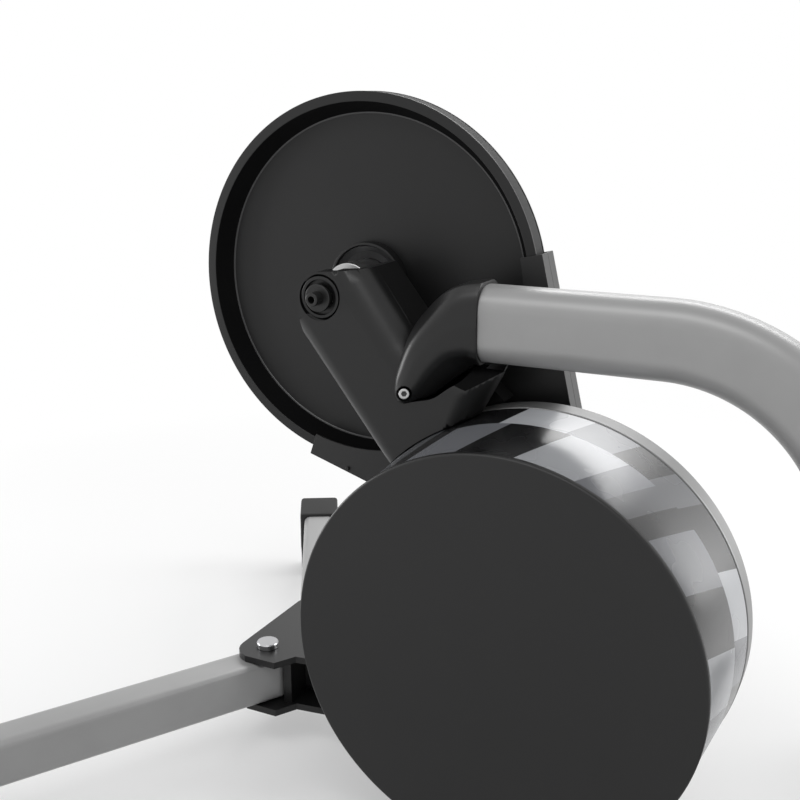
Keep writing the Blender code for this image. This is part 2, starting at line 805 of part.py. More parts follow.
def build_flywheel():
    place = (DRUM[0], 0, DRUM[1])
    cap = turned(
        "flywheel_cap",
        [
            (0, DRUM_NEAR),
            (CAP_R - 3.6, DRUM_NEAR),
            (CAP_R - 1.2, DRUM_NEAR - 0.9),
            (CAP_R, DRUM_NEAR - 2.8),
            (CAP_R, 137.4),
            (136.2, 137.4),
            (136.2, 131.0),
            (133.0, 131.0),
            (133.0, DRUM_NEAR - 3.2),
            (0, DRUM_NEAR - 3.2),
        ],
        place,
        steps=LARGE,
    )
    band = turned(
        "flywheel_band",
        [
            (drum_radius(136.4) - 0.5, 136.4),
            (drum_radius(135.8), 135.8),
            (drum_radius(DRUM_FAR), DRUM_FAR + 0.6),
            (drum_radius(DRUM_FAR) - 0.6, DRUM_FAR),
            (drum_radius(DRUM_FAR) - 2.6, DRUM_FAR),
            (136.6, 130.0),
            (136.6, 136.4),
        ],
        place,
        steps=LARGE,
    )
    drum = turned(
        "flywheel_drum",
        [
            (136.1, 128.8),
            (drum_radius(DRUM_FAR) - 3.1, DRUM_FAR + 0.3),
            (drum_radius(DRUM_FAR) - 12.0, DRUM_FAR + 0.3),
            (128.0, 114.0),
            (121.0, 121.0),
            (40.0, 121.0),
            (30.0, 112.0),
            (SHAFT_R + GAP, 112.0),
            (SHAFT_R + GAP, 128.8),
        ],
        place,
        steps=LARGE,
    )
    shaft = turned(
        "flywheel_shaft",
        [(0, 137.6), (7.7, 137.6), (SHAFT_R, 136.8), (SHAFT_R, -17.2), (7.7, -18.0), (0, -18.0)],
        place,
        steps=SMALL,
    )
    nut = rod("shaft_nut", 14.0, 129.1, 135.6, place, steps=6)
    cut(nut, rod("nut_bore", SHAFT_R + 0.5, 120.0, 140.0, place, steps=SMALL))
    paint(cap, MOULDED)
    paint(band, BAND)
    paint(drum, STEEL)
    paint(shaft, STEEL)
    paint(nut, DARK_METAL)
    for name, low in (("shaft_bearing_left", 22.5), ("shaft_bearing_right", 6.0)):
        bearing = turned(
            name,
            [(20.0, low + 12), (20.0, low), (SHAFT_R + GAP, low), (SHAFT_R + GAP, low + 12)],
            place,
            steps=MEDIUM,
        )
        paint(bearing, STEEL)


def build_brake():
    place = (DRUM[0], 0, DRUM[1])
    flange = turned(
        "brake_flange",
        [
            (FLANGE_R - 1.5, FLANGE_NEAR),
            (FLANGE_R, FLANGE_NEAR - 1.6),
            (FLANGE_R, FLANGE_BACK),
            (FLANGE_R - 4.3, FLANGE_BACK),
            (FLANGE_R - 4.3, FLANGE_PLATE),
            (24.0, FLANGE_PLATE),
            (24.0, FLANGE_PLATE + 5.0),
            (FLANGE_R - 7.4, FLANGE_PLATE + 5.0),
            (FLANGE_R - 5.9, FLANGE_NEAR),
        ],
        place,
        steps=LARGE,
    )
    cover_near = FLANGE_BACK + 2.5
    cover = turned(
        "flange_cover",
        [
            (FLANGE_R - 4.7, cover_near),
            (FLANGE_R - 4.7, FLANGE_BACK + GAP),
            (HOUSING_R + 1.2, FLANGE_BACK + GAP),
            (HOUSING_R + 1.2, cover_near),
        ],
        place,
        steps=LARGE,
    )
    inlet_place = polar(DRUM, 105.0, math.radians(200))
    cut(cover, rod("inlet_hole", 7.3, 20.0, 40.0, (inlet_place[0], 0, inlet_place[1]), steps=SMALL))
    inlet = turned(
        "power_inlet",
        [
            (0, FLANGE_PLATE - 0.4),
            (7.0, FLANGE_PLATE - 0.4),
            (7.0, FLANGE_BACK),
            (9.0, FLANGE_BACK),
            (9.0, FLANGE_BACK - 2.1),
            (8.6, FLANGE_BACK - 2.9),
            (4.2, FLANGE_BACK - 2.9),
            (4.2, FLANGE_PLATE - 2.2),
            (0, FLANGE_PLATE - 2.2),
        ],
        (inlet_place[0], 0, inlet_place[1]),
        steps=SMALL,
    )
    paint(inlet, MOULDED)
    star = []
    for i in range(4):
        middle = math.pi / 4 + i * math.pi / 2
        star += arc(DRUM, 44.0, middle - 1.02, middle - 0.44, 2)
        star += [polar(DRUM, 116.0, middle - 0.15), polar(DRUM, 116.0, middle + 0.15)]
        star += arc(DRUM, 44.0, middle + 0.44, middle + 0.50, 1)
    seat = FLANGE_PLATE + 5.0 + GAP
    core = flat("brake_core", [star, circle(DRUM, 26.0, SMALL)[::-1]], seat, seat + 6.7)
    coil_low = seat + 7.0
    for i in range(4):
        angle = math.pi / 4 + i * math.pi / 2
        coil = block("brake_coil_%d" % (i + 1), (84.0, coil_low, -19.0), (122.0, coil_low + 32, 19.0))
        slot = block("brake_coil_slot_%d" % (i + 1), (78.0, coil_low + 8, -9.0), (128.0, coil_low + 24, 9.0))
        soften(coil, 5.0, 2)
        turn = Matrix.Translation(Vector((DRUM[0], 0, DRUM[1])) * MM) @ Matrix.Rotation(-angle, 4, "Y")
        pole = block("brake_pole_%d" % (i + 1), (72.0, coil_low + 8.3, -8.7), (126.5, coil_low + 23.7, 8.7))
        leg = block("brake_pole_leg_%d" % (i + 1), (71.0, seat + 3, -8.0), (83.0, coil_low + 22, 8.0))
        for piece in (coil, slot, pole, leg):
            piece.data.transform(turn)
        cut(coil, slot)
        join(core, pole, leg)
        paint(coil, COPPER)
    paint(core, DARK_METAL)
    smooth(core)
    x, z, back = DRUM[0], DRUM[1], FLANGE_PLATE - 2.0
    board = block("control_board", (x - 46, back - 1.6, z - 118), (x + 46, back, z - 62))
    chip = block("board_chip", (x - 20, back - 3.1, z - 100), (x + 4, back - 1.0, z - 78))
    connector = block("board_plug", (x + 18, back - 3.1, z - 84), (x + 40, back - 0.8, z - 68))
    join(board, chip, connector)
    paint(board, BOARD)
    paint(flange, FLANGE_GREY)
    paint(cover, SHELL)


def rear_leg_path():
    """Level over the flywheel, then round a bend and down to the rear bar."""
    centre = Vector((-245.0, TUBE_Z - TUBE_BEND))
    run = Vector(REAR_BAR) - centre
    heading = math.atan2(run.y, run.x) + math.asin(TUBE_BEND / run.length)
    turn = heading % (2 * math.pi) - math.pi
    points = [(TUBE_END_X, TUBE_Z)]
    points += [polar(centre, TUBE_BEND, math.pi / 2 + turn * i / 10) for i in range(11)]
    points += [REAR_BAR]
    return [(x, TUBE_Y, z) for x, z in points]


def build_rear_leg():
    socket = loft("leg_socket", knuckle_rings(0.0))
    section = rounded_rectangle(TUBE_WIDE / 2, TUBE_TALL / 2, 16.0)
    seat = rounded_rectangle(TUBE_WIDE / 2 + GAP, TUBE_TALL / 2 + GAP, 16.0)
    start = [(TUBE_END_X + GAP, TUBE_Y, TUBE_Z), (-140.0, TUBE_Y, TUBE_Z)]
    cut(socket, swept("socket_tube_seat", start, seat))
    bolt_at = Vector((-71.0, 77.4, -60.5))
    toward = Vector((-0.43, 0.86, 0.26)).normalized()
    cut(socket, rod("socket_counterbore", 5.6, -6.0, 12.0, bolt_at, toward, steps=SMALL))
    paint(socket, MOULDED)
    smooth(socket, 50.0)
    bolt = turned(
        "socket_bolt",
        [(0, -1.2), (3.2, -1.2), (3.9, -1.9), (3.9, -5.7), (0, -5.7)],
        bolt_at,
        toward,
        steps=SMALL,
    )
    cut(bolt, rod("socket_bolt_hex", 2.0, -4.2, 4.0, bolt_at, toward, steps=6))
    paint(bolt, SILVER)

    tube = swept("rear_leg_tube", rear_leg_path(), section)
    inner = rounded_rectangle(TUBE_WIDE / 2 - TUBE_WALL, TUBE_TALL / 2 - TUBE_WALL, 13.0)
    path = rear_leg_path()
    inside = [(path[0][0] + 10.0, *path[0][1:]), *path[1:]]
    bar_end = (REAR_BAR[0], 0, REAR_BAR[1])
    cope = rod("rear_tube_cope", REAR_BAR_R + GAP, -90.0, 140.0, bar_end, steps=SMALL)
    below = block("rear_tube_trim", (-520, 0, -420), (-340, 90, REAR_BAR[1]))
    cut(tube, swept("rear_tube_hollow", inside, inner), cope, below)
    paint(tube, TUBE_GREY)
    smooth(tube)
    bar = turned(
        "rear_foot_bar",
        [
            (REAR_BAR_R, REAR_BAR_HALF),
            (REAR_BAR_R, -REAR_BAR_HALF),
            (REAR_BAR_R - 3.0, -REAR_BAR_HALF),
            (REAR_BAR_R - 3.0, REAR_BAR_HALF),
        ],
        bar_end,
        steps=SMALL,
    )
    paint(bar, TUBE_GREY)
    for name, side in (("rear_foot_left", 1), ("rear_foot_right", -1)):
        outline = arc(REAR_BAR, REAR_BAR_R + 4.5, math.radians(-20), math.radians(200), 10)
        outline += [(REAR_BAR[0] - 26.0, FLOOR), (REAR_BAR[0] + 26.0, FLOOR)]
        ends = sorted((side * (REAR_BAR_HALF - 44.0), side * (REAR_BAR_HALF + 5.0)))
        foot = flat(name, [outline], *ends)
        soften(foot, 2.0, 1)
        depth = sorted((side * (REAR_BAR_HALF - 60.0), side * (REAR_BAR_HALF + GAP)))
        cut(foot, rod(name + "_seat", REAR_BAR_R + GAP, *depth, bar_end, steps=SMALL))
        paint(foot, RUBBER)
        smooth(foot)


def build_base():
    section = rounded_rectangle(BASE_HALF, (BASE_TOP - BASE_BOTTOM) / 2, 7.0, 3)
    hollow = rounded_rectangle(BASE_HALF - 3.5, (BASE_TOP - BASE_BOTTOM) / 2 - 3.5, 4.0, 3)
    middle = (BASE_TOP + BASE_BOTTOM) / 2
    beam = swept("base_beam", [(-226.0, BASE_Y, middle), (44.0, BASE_Y, middle)], section)
    cut(beam, swept("beam_hollow", [(-230.0, BASE_Y, middle), (50.0, BASE_Y, middle)], hollow))
    for i, (x, y) in enumerate(base_bolt_places()):
        cut(beam, rod("beam_bolt_hole_%d" % i, 4.6, BASE_TOP - 12, BASE_TOP + 5, (x, y, 0), Z_AXIS, steps=TINY))
    paint(beam, PAINT)
    smooth(beam)
    plug_section = rounded_rectangle(BASE_HALF - 3.8, (BASE_TOP - BASE_BOTTOM) / 2 - 3.8, 3.8, 3)
    plug = swept("beam_end_plug", [(-229.6, BASE_Y, middle), (-208.0, BASE_Y, middle)], plug_section)
    flange = swept("plug_flange", [(-230.2, BASE_Y, middle), (-226.3, BASE_Y, middle)], section)
    join(plug, flange)
    paint(plug, MOULDED)
    smooth(plug)

    plate = [(40.0, -45.0), (50.0, -62.0), (78.0, -62.0)]
    plate += arc((74.0, -44.0), 18.0, math.radians(-80), 0.0, 5)
    plate += arc((74.0, 44.0), 18.0, 0.0, math.radians(80), 5)
    plate += [(78.0, 62.0), (50.0, 62.0), (40.0, 45.0), (-20.0, 37.5), (-20.0, -37.5)]
    yoke = flat("front_yoke", [plate], BASE_TOP + GAP, BASE_TOP + GAP + 5.5, axis="Z")
    under = flat("yoke_under", [plate], BASE_BOTTOM - GAP - 5.5, BASE_BOTTOM - GAP, axis="Z")
    web = block("yoke_web", (44.3, -46.0, BASE_BOTTOM - 3), (51.5, 46.0, BASE_TOP + 3))
    join(yoke, under, web)
    for side in (1, -1):
        place = (LEG_PIVOT_X, side * LEG_PIVOT_Y, 0)
        cut(yoke, rod("yoke_pin_hole_%d" % side, 5.3, -360.0, -290.0, place, Z_AXIS, steps=TINY))
    paint(yoke, PAINT)
    smooth(yoke)
    head_low = BASE_PLATE + 2 * GAP
    for i, (x, y) in enumerate(base_bolt_places()):
        bolt = turned(
            "base_bolt_%d" % (i + 1),
            [(0, head_low + 6), (7.4, head_low + 6), (7.4, head_low), (4.0, head_low), (4.0, -2.0), (0, -2.0)],
            (x, y, BASE_TOP),
            Z_AXIS,
            steps=6,
        )
        paint(bolt, DARK_METAL)


def base_bolt_places():
    return [(-194.0, -14.0), (-138.0, -14.0)]


def leg_matrix(side):
    pivot = Matrix.Translation(Vector((LEG_PIVOT_X, side * LEG_PIVOT_Y, 0)) * MM)
    return pivot @ Matrix.Rotation(side * LEG_SPREAD, 4, "Z")


def build_front_legs():
    middle = (BASE_TOP + BASE_BOTTOM) / 2
    half, half_tall = LEG_WIDE / 2, (BASE_TOP - BASE_BOTTOM) / 2
    section = rounded_rectangle(half, half_tall, 6.0)
    hollow = rounded_rectangle(half - LEG_WALL, half_tall - LEG_WALL, 6.0 - LEG_WALL)
    seat = rounded_rectangle(half + GAP, half_tall + GAP, 6.0 + GAP)
    plan = arc((0, 0), half, math.pi / 2, 3 * math.pi / 2, 9)
    plan += [(LEG_LENGTH, -half - 2), (LEG_LENGTH, half + 2)]
    for name, side in (("left", 1), ("right", -1)):
        leg = swept("front_leg_" + name, [(-half - 1, 0, middle), (LEG_LENGTH, 0, middle)], section)
        trim = flat("leg_plan_" + name, [plan], BASE_BOTTOM - 1, BASE_TOP + 1, axis="Z")
        boolean(leg, trim, "INTERSECT")
        inside = swept("leg_hollow_" + name, [(24.0, 0, middle), (LEG_LENGTH + 9, 0, middle)], hollow)
        pin_hole = rod("leg_pin_hole_" + name, 5.3, -360.0, -290.0, (0, 0, 0), Z_AXIS, steps=TINY)
        cut(leg, inside, pin_hole)
        paint(leg, TUBE_GREY)
        smooth(leg)

        foot = flat("front_foot_" + name, [foot_outline()], -half - 4.5, half + 4.5)
        soften(foot, 3.0, 2)
        foot_seat = swept("foot_seat_" + name, [(220.0, 0, middle), (LEG_LENGTH + GAP, 0, middle)], seat)
        cut(foot, foot_seat)
        paint(foot, RUBBER)
        smooth(foot)
        pin = turned(
            "leg_pin_" + name,
            [
                (0, -296.0),
                (8.4, -296.0),
                (9.0, -296.8),
                (9.0, -300.5),
                (5.0, -300.5),
                (5.0, -349.1),
                (8.5, -349.1),
                (8.5, -353.5),
                (0, -353.5),
            ],
            (LEG_PIVOT_X, side * LEG_PIVOT_Y, 0),
            Z_AXIS,
            steps=SMALL,
        )
        paint(pin, STEEL)
        turn = bpy.data.objects.new("leg_hinge_" + name, None)
        PARTS.objects.link(turn)
        turn.parent = AXLE_EMPTY
        turn.matrix_local = leg_matrix(side)
        for piece in (leg, foot, trim, inside, pin_hole, foot_seat):
            piece.parent = turn


def foot_outline():
    """A cap over the leg's end with a pad below it, seen from the side in the leg's own frame."""
    top, under = BASE_TOP + 3.4, BASE_BOTTOM - 3.4
    end = LEG_LENGTH + 12.0
    corner = arc((end - 9.0, top - 9.0), 9.0, math.radians(90), 0.0, 3)
    pad = [(end, under - 6), (end - 4, under - 14), (end - 4, FLOOR), (end - 44, FLOOR), (end - 44, under - 12)]
    return [(end - 58, top)] + corner + pad + [(end - 52, under), (end - 58, under)]


build_arm()
build_axle_group()
build_drive_pulley()
build_freehub()
build_belt()
build_guards()
build_flywheel()
build_brake()
build_rear_leg()
build_base()
build_front_legs()
bpy.context.view_layer.update()
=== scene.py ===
import json
import math

import bmesh
import bpy
from mathutils import Matrix, Vector

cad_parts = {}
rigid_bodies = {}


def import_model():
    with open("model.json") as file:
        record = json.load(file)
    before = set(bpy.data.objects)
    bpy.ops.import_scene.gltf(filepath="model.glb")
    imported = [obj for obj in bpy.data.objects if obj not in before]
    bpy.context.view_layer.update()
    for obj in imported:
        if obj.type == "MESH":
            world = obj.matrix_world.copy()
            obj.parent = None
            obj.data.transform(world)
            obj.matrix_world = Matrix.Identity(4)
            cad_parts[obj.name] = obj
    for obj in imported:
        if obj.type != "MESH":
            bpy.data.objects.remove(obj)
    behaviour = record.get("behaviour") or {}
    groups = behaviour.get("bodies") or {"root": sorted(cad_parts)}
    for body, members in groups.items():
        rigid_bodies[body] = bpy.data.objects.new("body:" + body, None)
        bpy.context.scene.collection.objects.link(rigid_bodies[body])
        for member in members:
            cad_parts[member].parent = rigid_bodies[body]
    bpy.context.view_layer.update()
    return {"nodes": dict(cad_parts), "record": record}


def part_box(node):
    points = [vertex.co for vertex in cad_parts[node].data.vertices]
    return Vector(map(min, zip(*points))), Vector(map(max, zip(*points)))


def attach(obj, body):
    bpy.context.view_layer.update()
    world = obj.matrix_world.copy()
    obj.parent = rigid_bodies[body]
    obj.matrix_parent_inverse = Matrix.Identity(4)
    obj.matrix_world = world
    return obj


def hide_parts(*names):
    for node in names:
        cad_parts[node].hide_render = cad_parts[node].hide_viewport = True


for old in list(bpy.data.objects):
    bpy.data.objects.remove(old, do_unlink=True)
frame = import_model()
NODES = frame["nodes"]
RECORD = frame["record"]
BODY_OF = {node: body for body, nodes in RECORD["behaviour"]["bodies"].items() for node in nodes}
SLOT_OF = {row["node"]: row["material_slot"] for row in RECORD["subparts"]}

MM = 0.001
Y_AXIS = Vector((0, 1, 0))

# The lengths below are in millimetres from the middle of the axle: X forward, Y left, Z up.
AXLE = sum(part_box("axle"), Vector()) / 2
DRUM = (-164.6, -211.3)
BAND_FAR, BAND_NEAR = 46.0, 136.4
BAND_FAR_R, BAND_NEAR_R = 144.5, 138.5
FLOOR_EDGE_R = 127.0
TUBE_Y, TUBE_Z = 47.0, -10.5
TUBE_END_X = -114.0
TUBE_HALF_WIDE, TUBE_HALF_TALL, TUBE_CORNER_R, TUBE_WALL = 18.5, 26.5, 16.0, 3.0
BEND_X, BEND_R = -245.0, 130.0
SEAT_GAP = 0.3
REAR_BAR = (-430.0, -350.0)
SOCKET_BOLT = (-74.0, 78.0, -58.8)
SOCKET_BOLT_AXIS = Vector((-0.43, 0.86, 0.26)).normalized()
BOLT_R, BOLT_BORE_R, BOLT_SUNK, BOLT_SOCKET_R = 3.7, 5.3, 1.2, 2.1
ARM_BACK, ARM_FACE, ARM_LEAN, ARM_TOP_R, ARM_SEAT_R, SKIRT_R = 6.0, 62.5, 0.085, 18.0, 16.5, 145.5
PLATE_BACK, CORE_BACK, UNDER_FACE, FACE_SKIN = 54.5, 14.0, 1.0, 1.5
LEFT_CORNER, LEFT_TIP = (14.5, -33.2), (-58.1, -118.1)
# Each round of the arm is a line of (X, Z, radius) along an edge of its near face, the arm on its right.
LEFT_ROUND = [(23.4, -22.9, 13.5), (-58.1, -118.1, 12.5), (-64.6, -125.7, 12.5)]
FLANK_ROUND = [(-84.0, -46.3, 21.0), (-70.0, -28.2, 23.0), (-59.0, -14.0, 24.0), (-11.6, 47.4, 24.0)]
SHOULDER_ROUND = [
    (-110.0, -91.6, 12.0),
    (-124.0, -67.0, 19.0),
    (-139.0, -40.5, 23.0),
    (-149.0, -23.0, 23.0),
]
TOP_ROUND = [(-150.0, -40.5, 26.0), (-118.0, -40.5, 24.0), (-80.0, -34.0, 10.0)]
ROUNDS = (LEFT_ROUND, FLANK_ROUND, SHOULDER_ROUND, TOP_ROUND)
# The top of the shoulder, in the shade of the rear leg, is painted shade: a matt surface where it slopes
# this much.
SHADED_LOW, SHADED_HIGH, SHADED_SLOPE = (-152.0, 40.0, -80.0), (-88.0, 80.0, -30.0), 0.36

# Each station of the socket: centre X, Z, heading, half height up and down, near and far Y, then how much
# of the near side is cut off at its upper and its lower edge, along the height and along Y.
SOCKET_STATIONS = [
    (-121.0, -10.0, 0.0, 28.5, 28.5, 68.0, 26.0, 8.5, 8.5, 8.5, 8.5),
    (-109.0, -12.0, -16.0, 27.2, 27.2, 70.2, 26.0, 9.0, 10.0, 10.5, 12.0),
    (-96.5, -23.0, -31.0, 27.0, 25.5, 74.5, 30.0, 11.0, 22.0, 17.0, 18.0),
    (-86.5, -37.0, -41.0, 25.0, 20.0, 77.0, 38.0, 9.0, 19.0, 14.2, 17.0),
    (-76.5, -52.0, -54.0, 14.0, 15.6, 77.5, 48.0, 3.5, 7.0, 10.0, 13.0),
    (-70.5, -60.5, -57.0, 8.0, 9.0, 76.5, 57.0, 2.5, 4.0, 5.5, 7.5),
    (-68.2, -64.6, -57.0, 4.5, 5.0, 75.0, 60.0, 1.5, 2.0, 2.0, 3.0),
]
# How far the pocket in the arm reaches below the socket at each of its stations.
POCKET_GAPS = (0.0, 1.5, 3.5, 3.5, 2.3, 0.8, 0.2)
SOCKET_BENDS = (14.0, 16.0, 6.0, 14.0, 20.0, 15.0, 6.0)

# Points closer than this many metres are one; faces within this angle of each other are one flat face.
WELD_REACH, FLAT_ANGLE = 2e-6, math.radians(0.4)
SHARP_DEGREES = 32
AMBIENT = 0.42


def place(x, y, z):
    return AXLE + Vector((x, y, z)) * MM


class Nodes:
    """Short calls for a material's nodes."""

    def __init__(self, name):
        self.material = bpy.data.materials.new(name)
        self.material.use_nodes = True
        self.tree = self.material.node_tree
        self.shader = self.tree.nodes["Principled BSDF"]

    def add(self, kind, inputs=None, **settings):
        node = self.tree.nodes.new("ShaderNode" + kind)
        for key, value in settings.items():
            setattr(node, key, value)
        for key, value in (inputs or {}).items():
            self.feed(node.inputs[key], value)
        return node

    def feed(self, socket, value):
        if isinstance(value, bpy.types.NodeSocket):
            self.tree.links.new(value, socket)
        else:
            socket.default_value = value

    def math(self, operation, *values):
        node = self.add("Math", operation=operation)
        for socket, value in zip(node.inputs, values):
            self.feed(socket, value)
        return node.outputs[0]

    def ramp(self, factor, stops, interpolation="LINEAR"):
        node = self.add("ValToRGB", {"Fac": factor})
        node.color_ramp.interpolation = interpolation
        entries = node.color_ramp.elements
        while len(entries) > 1:
            entries.remove(entries[-1])
        entries[0].position, entries[0].color = stops[0][0], (*stops[0][1], 1.0)
        for position, colour in stops[1:]:
            entries.new(position).color = (*colour, 1.0)
        return node.outputs["Color"]

    def mix(self, factor, first, second):
        node = self.add("MixRGB", {"Fac": factor, "Color1": first, "Color2": second})
        return node.outputs["Color"]

    def coordinates(self):
        return self.add("TexCoord").outputs["Object"]

    def noise(self, size, detail=2.0):
        """Noise whose cells are about that many metres across."""
        node = self.add("TexNoise", {"Vector": self.coordinates(), "Scale": 1.0 / size, "Detail": detail})
        return node.outputs["Fac"]

    def span(self, value, low, high):
        node = self.add("MapRange", {"Value": value, "To Min": low, "To Max": high})
        return node.outputs["Result"]


def surface(
    name, colour, roughness, metallic=0.0, grain=0.08, grain_size=0.0006, mottle=0.06, specular=0.5
):
    """A paint, plastic or metal with fine grain in its bump and a slow change in colour and gloss."""
    made = Nodes(name)
    shader = made.shader
    cloud = made.noise(0.035, 3.0)
    dark = tuple(c * (1 - mottle) for c in colour)
    light = tuple(c * (1 + mottle) for c in colour)
    made.feed(shader.inputs["Base Color"], made.ramp(cloud, [(0.3, dark), (0.7, light)]))
    fine = made.noise(grain_size, 2.0)
    made.feed(shader.inputs["Roughness"], made.span(cloud, roughness - 0.04, roughness + 0.04))
    bump = made.add("Bump", {"Height": fine, "Strength": grain, "Distance": 0.0002})
    made.feed(shader.inputs["Normal"], bump.outputs["Normal"])
    shader.inputs["Metallic"].default_value = metallic
    shader.inputs["Specular IOR Level"].default_value = specular
    return made.material


BLACK, DIM = (0.006, 0.006, 0.0065), (0.09, 0.093, 0.10)
MID, PALE = (0.16, 0.165, 0.18), (0.40, 0.41, 0.43)
BLOCK_REPEATS, BLOCK_SLANT, ROW_SPLIT = 5, 0.16, 0.36
FAR_ROW = [(0.0, DIM), (0.14, BLACK), (0.40, PALE), (0.66, MID), (0.84, BLACK)]
NEAR_ROW = [(0.0, MID), (0.22, BLACK), (0.45, PALE), (0.68, MID), (0.80, DIM), (0.90, BLACK)]
FAR_START, NEAR_START = 9.21, 8.98


def band_print(name):
    """Gloss band with two rows of slanted blocks in black and greys, shifted against each other."""
    made = Nodes(name)
    shader = made.shader
    axes = made.add("SeparateXYZ", {"Vector": made.coordinates()})
    centre = place(DRUM[0], 0, DRUM[1])
    dx = made.math("SUBTRACT", axes.outputs["X"], centre.x)
    dz = made.math("SUBTRACT", axes.outputs["Z"], centre.z)
    turn = made.math("DIVIDE", made.math("ARCTAN2", dz, dx), 2 * math.pi)
    low, wide = BAND_FAR * MM, (BAND_NEAR - BAND_FAR) * MM
    across = made.math("DIVIDE", made.math("SUBTRACT", axes.outputs["Y"], low), wide)
    around, shift = made.math("MULTIPLY", turn, BLOCK_REPEATS), made.math("MULTIPLY", across, BLOCK_SLANT)
    where = made.math("ADD", around, shift)
    rows = []
    for start, stops in ((FAR_START, FAR_ROW), (NEAR_START, NEAR_ROW)):
        share = made.math("FRACT", made.math("ADD", where, start))
        rows.append(made.ramp(share, stops, "CONSTANT"))
    row = made.math("GREATER_THAN", across, ROW_SPLIT)
    made.feed(shader.inputs["Base Color"], made.mix(row, rows[0], rows[1]))
    fine = made.noise(0.0012, 2.0)
    bump = made.add("Bump", {"Height": fine, "Strength": 0.03, "Distance": 0.0002})
    made.feed(shader.inputs["Normal"], bump.outputs["Normal"])
    cloud = made.noise(0.05, 2.0)
    made.feed(shader.inputs["Roughness"], made.span(cloud, 0.24, 0.30))
    shader.inputs["Coat Weight"].default_value = 0.25
    shader.inputs["Coat Roughness"].default_value = 0.12
    return made.material


PAINT = surface("black_paint", (0.0070, 0.0070, 0.0072), 0.34, grain=0.10, specular=0.38)
PULLEY = surface("satin_black", (0.0050, 0.0050, 0.0052), 0.40, grain=0.06, specular=0.36)
# Painted shade: a matt dark surface that reflects nothing, for the pulley's inner wall, the shoulder's top
# and the socket's bore.
PAINTED_SHADE = surface("painted_shade_matt", (0.0090, 0.0090, 0.0092), 0.60, grain=0.20, specular=0.0)
# Painted highlight: a lighter, slightly metallic ring on the edge of the pulley's floor stands in for the
# thin light line there.
PAINTED_HIGHLIGHT = surface("painted_highlight_ring", (0.060, 0.060, 0.061), 0.35, metallic=0.3, grain=0.08)
MOULDED = surface("moulded_black", (0.0060, 0.0060, 0.0062), 0.38, grain=0.05, specular=0.42)
SHELL = surface("shell_black", (0.0100, 0.0100, 0.0102), 0.42, grain=0.22, grain_size=0.0009, specular=0.42)
RUBBER = surface("rubber", (0.0120, 0.0120, 0.0120), 0.80, grain=0.30, grain_size=0.0011)
TUBE = surface("silver_paint", (0.36, 0.36, 0.36), 0.40, metallic=0.20, grain=0.06, mottle=0.03)
STEEL = surface("steel", (0.45, 0.45, 0.46), 0.30, metallic=1.0, grain=0.05)
SILVER = surface("silver", (0.46, 0.46, 0.46), 0.30, metallic=1.0, grain=0.03)
ZINC = surface("zinc", (0.44, 0.44, 0.44), 0.38, metallic=0.9, grain=0.10)
FLANGE = surface("flange_grey", (0.20, 0.20, 0.20), 0.35, metallic=0.6, grain=0.05)
DARK = surface("black_oxide", (0.0140, 0.0140, 0.0140), 0.36, metallic=0.3, grain=0.08)
# Painted shade: the bolt's hex socket is darker than its zinc head.
PAINTED_RECESS_SHADE = surface("painted_recess_shade", (0.110, 0.110, 0.110), 0.50, metallic=0.5, grain=0.08, specular=0.2)
COPPER = surface("copper_wire", (0.45, 0.19, 0.08), 0.35, metallic=0.9, grain=0.10)
BOARD = surface("solder_mask", (0.02, 0.10, 0.04), 0.40, grain=0.05)
BAND = band_print("band_print")

LOOKS = {
    "black_paint": PAINT,
    "black_pulley": PULLEY,
    "moulded_black": MOULDED,
    "guard_black": SHELL,
    "band": BAND,
    "flange_grey": FLANGE,
    "tube_grey": TUBE,
    "rubber": RUBBER,
    "steel": STEEL,
    "silver": SILVER,
    "bolt_silver": ZINC,
    "dark_metal": DARK,
    "copper": COPPER,
    "board_green": BOARD,
}


def new_group(name):
    group = bpy.data.node_groups.new(name, "GeometryNodeTree")
    group.interface.new_socket("Geometry", in_out="INPUT", socket_type="NodeSocketGeometry")
    group.interface.new_socket("Geometry", in_out="OUTPUT", socket_type="NodeSocketGeometry")
    return group, group.nodes.new("NodeGroupInput"), group.nodes.new("NodeGroupOutput")


def weld_group():
    """Joins the split corners of an imported mesh and drops its flat normals."""
    group, start, end = new_group("weld_corners")
    merge = group.nodes.new("GeometryNodeMergeByDistance")
    merge.inputs["Distance"].default_value = WELD_REACH
    drop = group.nodes.new("GeometryNodeRemoveAttribute")
    drop.inputs["Name"].default_value = "custom_normal"
    group.links.new(start.outputs[0], merge.inputs["Geometry"])
    group.links.new(merge.outputs["Geometry"], drop.inputs["Geometry"])
    group.links.new(drop.outputs["Geometry"], end.inputs[0])
    return group


def smooth_group():
    """Smooth shading, broken where two faces meet at a sharp angle."""
    group, start, end = new_group("smooth_by_angle")
    angle = group.nodes.new("GeometryNodeInputMeshEdgeAngle")
    sharp = group.nodes.new("FunctionNodeCompare")
    sharp.data_type, sharp.operation = "FLOAT", "LESS_THAN"
    sharp.inputs[1].default_value = math.radians(SHARP_DEGREES)
    group.links.new(angle.outputs["Unsigned Angle"], sharp.inputs[0])
    edges = group.nodes.new("GeometryNodeSetShadeSmooth")
    edges.domain = "EDGE"
    faces = group.nodes.new("GeometryNodeSetShadeSmooth")
    faces.domain = "FACE"
    group.links.new(start.outputs[0], faces.inputs["Geometry"])
    group.links.new(faces.outputs["Geometry"], edges.inputs["Geometry"])
    group.links.new(sharp.outputs["Result"], edges.inputs["Shade Smooth"])
    group.links.new(edges.outputs["Geometry"], end.inputs[0])
    return group


WELD, SMOOTH = weld_group(), smooth_group()


def weigh_normals(obj):
    """Keeps wide flat faces flat in their shading beside small rounded edges."""
    weighted = obj.modifiers.new("weighted", "WEIGHTED_NORMAL")
    weighted.keep_sharp = True
    weighted.weight = 50


